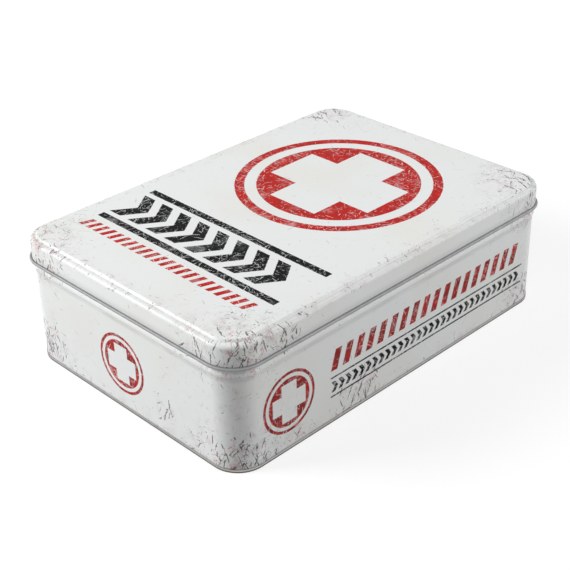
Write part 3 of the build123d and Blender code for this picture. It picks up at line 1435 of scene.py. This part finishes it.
@dataclass(frozen=True)
class Tinplate:
    """Bare tinplate: softly clouded, finely rolled, tarnished where it is handled, and with painted shade
    along the foot.
    """

    name: str
    plan: Plan
    bright: Colour = (0.56, 0.56, 0.545)
    dull: Colour = (0.43, 0.43, 0.41)
    tarnish: Colour = (0.25, 0.255, 0.26)
    spot: Colour = (0.07, 0.055, 0.04)
    roughness: float = 0.40
    grain_stretch: Place = (24.0, 1.0, 1.0)

    def handled(self, graph: Graph) -> tuple[Field, Field]:
        """Where the rim and the foot show on the outside of the tin.

        Args:
            graph: The material's graph.

        Returns:
            1 on the rim and the foot's fold, and the grime in their folds.
        """
        plan, z = self.plan, graph.z
        over_x = (graph.x.size() - (plan.length / 2 - plan.corner_radius)).most(0.0)
        over_y = (graph.y.size() - (plan.width / 2 - plan.corner_radius)).most(0.0)
        inset = plan.corner_radius - graph.length(over_x, over_y)
        rim = z.within(RIM_Z - 1.0, RIM_Z + 1.0, 0.2) * inset.rise(1.8, 1.5)
        outside = inset.rise(3.3, 3.0)
        fold = z.rise(2.1, 1.9) * outside
        # Painted shade, not dirt: a dark line at the very foot for the shadow where the tin meets the
        # floor, and a fainter band where the fold meets the wall.
        grime_and_shade = z.rise(1.1, 0.7).most(z.within(1.7, 2.4, 0.3) * 0.4) * outside * 0.9
        return rim.most(fold * 0.35), grime_and_shade

    def build(self) -> Material:
        """Makes the material.

        Returns:
            The finished metal.
        """
        graph = Graph(self.name)
        outside, grime_and_shade = self.handled(graph)
        cloud = graph.noise(26.0, 21.0, detail=3.0, roughness=0.45)
        mottle = graph.noise(3.0, 24.0, detail=4.0, roughness=0.6)
        grain = graph.noise(0.5, 22.0, detail=3.0, stretch=self.grain_stretch)
        spots = BARE_SPOTS.mask(graph) * 0.8
        worn = (cloud * 0.6 + mottle * 0.4).rise(0.34, 0.70)
        colour = graph.paint(graph.colour(self.bright), self.dull, worn)
        colour = graph.paint(colour, self.tarnish, outside * (mottle * 0.5 + 0.7).least(1.0))
        # Bare spots, and the painted shade along the foot.
        colour = graph.paint(colour, self.spot, spots.most(grime_and_shade))
        rough = cloud * 0.10 + grain * 0.08 + spots * 0.25 + outside * 0.30 + (self.roughness - 0.08)
        graph.finish(colour, rough, grain * 0.004 + cloud * 0.03 - spots * 0.01)
        graph.dress({"Metallic": 1.0})
        return graph.material


@dataclass(frozen=True)
class Floor:
    """A pale floor that keeps the tin's shadow, and that the camera sees as white."""

    name: str = "floor_white"
    own: Colour = (0.34, 0.34, 0.34)
    roughness: float = 0.9
    lift_near: float = 0.70
    lift_far: float = 1.0
    lift_reach: Point = (190.0, 900.0)

    def build(self) -> Material:
        """Makes the material.

        Returns:
            The floor's material.
        """
        graph = Graph(self.name)
        out = graph.length(graph.x, graph.y).rise(*self.lift_reach)
        lift = out * (self.lift_far - self.lift_near) + self.lift_near
        seen = Field(graph, seen_directly(graph.tree))
        graph.dress({
            "Base Color": (*self.own, 1.0),
            "Roughness": self.roughness,
            "Specular IOR Level": 0.0,
            "Emission Color": WHITE,
            "Emission Strength": seen * lift,
        })
        return graph.material


def seen_directly(tree: NodeTree) -> NodeSocket:
    """1 for a ray from the camera, or one that is mirrored or let through on the way.

    Args:
        tree: The node tree of a material or of the world.

    Returns:
        The socket that holds it.
    """
    path = add_node(tree, "ShaderNodeLightPath", {}).outputs
    result = path["Is Camera Ray"]
    for name in ("Is Glossy Ray", "Is Transmission Ray"):
        either = add_node(tree, "ShaderNodeMath", {0: result, 1: path[name]}, operation="MAXIMUM")
        result = either.outputs[0]
    return result


@dataclass(frozen=True)
class Lamp:
    """A square soft lamp that faces the tin, and that the camera doesn't see.

    Its bearing goes from +X towards +Y and its height up from the floor, in degrees. Its distance is
    in metres, its power in watts, and its spread is its side as a share of its distance.
    """

    name: str
    bearing: float
    height: float
    distance: float
    power: float
    spread: float = 0.533

    def build(self) -> None:
        """Adds the lamp."""
        data = bpy.data.lights.new(self.name, "AREA")
        data.size, data.energy = self.spread * self.distance, self.power
        lamp = add_object(self.name, data)
        turn, rise = math.radians(self.bearing), math.radians(self.height)
        out = Vector((math.cos(rise) * math.cos(turn), math.cos(rise) * math.sin(turn), math.sin(rise)))
        lamp.location = out * self.distance
        lamp.rotation_mode = "QUATERNION"
        lamp.rotation_quaternion = (-out).to_track_quat("-Z", "Y")
        lamp.visible_camera = False


LAMPS = (
    Lamp("left_lamp", 138.0, 30.0, 1.5, 22.0),
    Lamp("right_lamp", 312.0, 30.0, 1.5, 12.5),
)


@dataclass(frozen=True)
class Studio:
    """A pale floor, soft lamps and the camera at the photograph's viewing angle."""

    azimuth: float = -43.92
    elevation: float = 30.60
    roll: float = -1.45
    distance: float = 0.63284
    target: Place = (-0.01785, -0.01272, 0.035)
    lens: float = 78.33
    sensor: float = 36.0
    clip: Point = (0.01, 20.0)
    world_level: float = 0.30
    floor_reach: float = 4000.0
    floor_depth: float = 1.0

    def camera(self) -> None:
        """Places the camera and makes it the scene's."""
        a, e = math.radians(self.azimuth), math.radians(self.elevation)
        back = Vector((math.sin(a) * math.cos(e), -math.cos(a) * math.cos(e), math.sin(e)))
        data = bpy.data.cameras.new("camera")
        data.sensor_width, data.lens = self.sensor, self.lens
        data.clip_start, data.clip_end = self.clip
        eye = add_object("camera", data)
        eye.location = Vector(self.target) + back * self.distance
        eye.rotation_mode = "QUATERNION"
        level = (-back).to_track_quat("-Z", "Y")
        eye.rotation_quaternion = level @ Quaternion((0, 0, 1), math.radians(self.roll))
        bpy.context.scene.camera = eye

    def backdrop(self) -> None:
        """Makes the world, which the camera sees as white."""
        world = bpy.data.worlds.new("studio")
        bpy.context.scene.world = world
        world.use_nodes = True
        tree = world.node_tree
        strength = add_node(tree, "ShaderNodeMapRange", {"To Min": self.world_level})
        feed(tree, seen_directly(tree), strength.inputs["Value"])
        background = tree.nodes["Background"].inputs
        feed(tree, strength.outputs["Result"], background["Strength"])
        feed(tree, WHITE, background["Color"])

    def build(self) -> None:
        """Makes the world, floor, lamps and camera."""
        self.backdrop()
        reach = self.floor_reach
        floor = block("floor", (-reach, -reach, -self.floor_depth), (reach, reach, 0.0), Floor().build())
        for lamp in LAMPS:
            lamp.build()
        self.camera()


def main() -> None:
    """Builds the tin and its studio, and reports each piece."""
    logging.basicConfig(level=logging.INFO, format="%(name)s %(message)s")
    plan, hinge, tree = Plan.of_frame(), Hinge(), RingTree()
    lid_enamel = WhiteEnamel("lid_enamel", plan, (Face.LID,)).build()
    sides = (Face.FRONT, Face.REAR, Face.LEFT, Face.RIGHT)
    wall_enamel = WhiteEnamel(
        "wall_enamel", plan, sides, print_wear=0.5, red=(0.47, 0.034, 0.034), browned=0.55
    ).build()
    tinplate = Tinplate("bare_tinplate", plan).build()
    wire = Tinplate("hinge_wire", plan, bright=(0.50, 0.50, 0.49), roughness=0.32).build()
    wall = BodyWall(plan, hinge, wall_enamel, tinplate)
    pieces = [
        Lid(plan, hinge, lid_enamel, tinplate).build(tree),
        *wall.build(tree),
        BasePanel(plan, wall, tinplate).build(tree),
    ]
    for name in ("hinge_wire_left", "hinge_wire_right"):
        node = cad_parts[name]
        node.data.materials.clear()
        node.data.materials.append(wire)
        pieces.append(node)
    for piece in pieces:
        log.info("%s: %d faces", piece.name, len(piece.data.polygons))
    Studio().build()
    bpy.context.scene.view_settings.view_transform = "Standard"


if __name__ == "__main__":
    main()
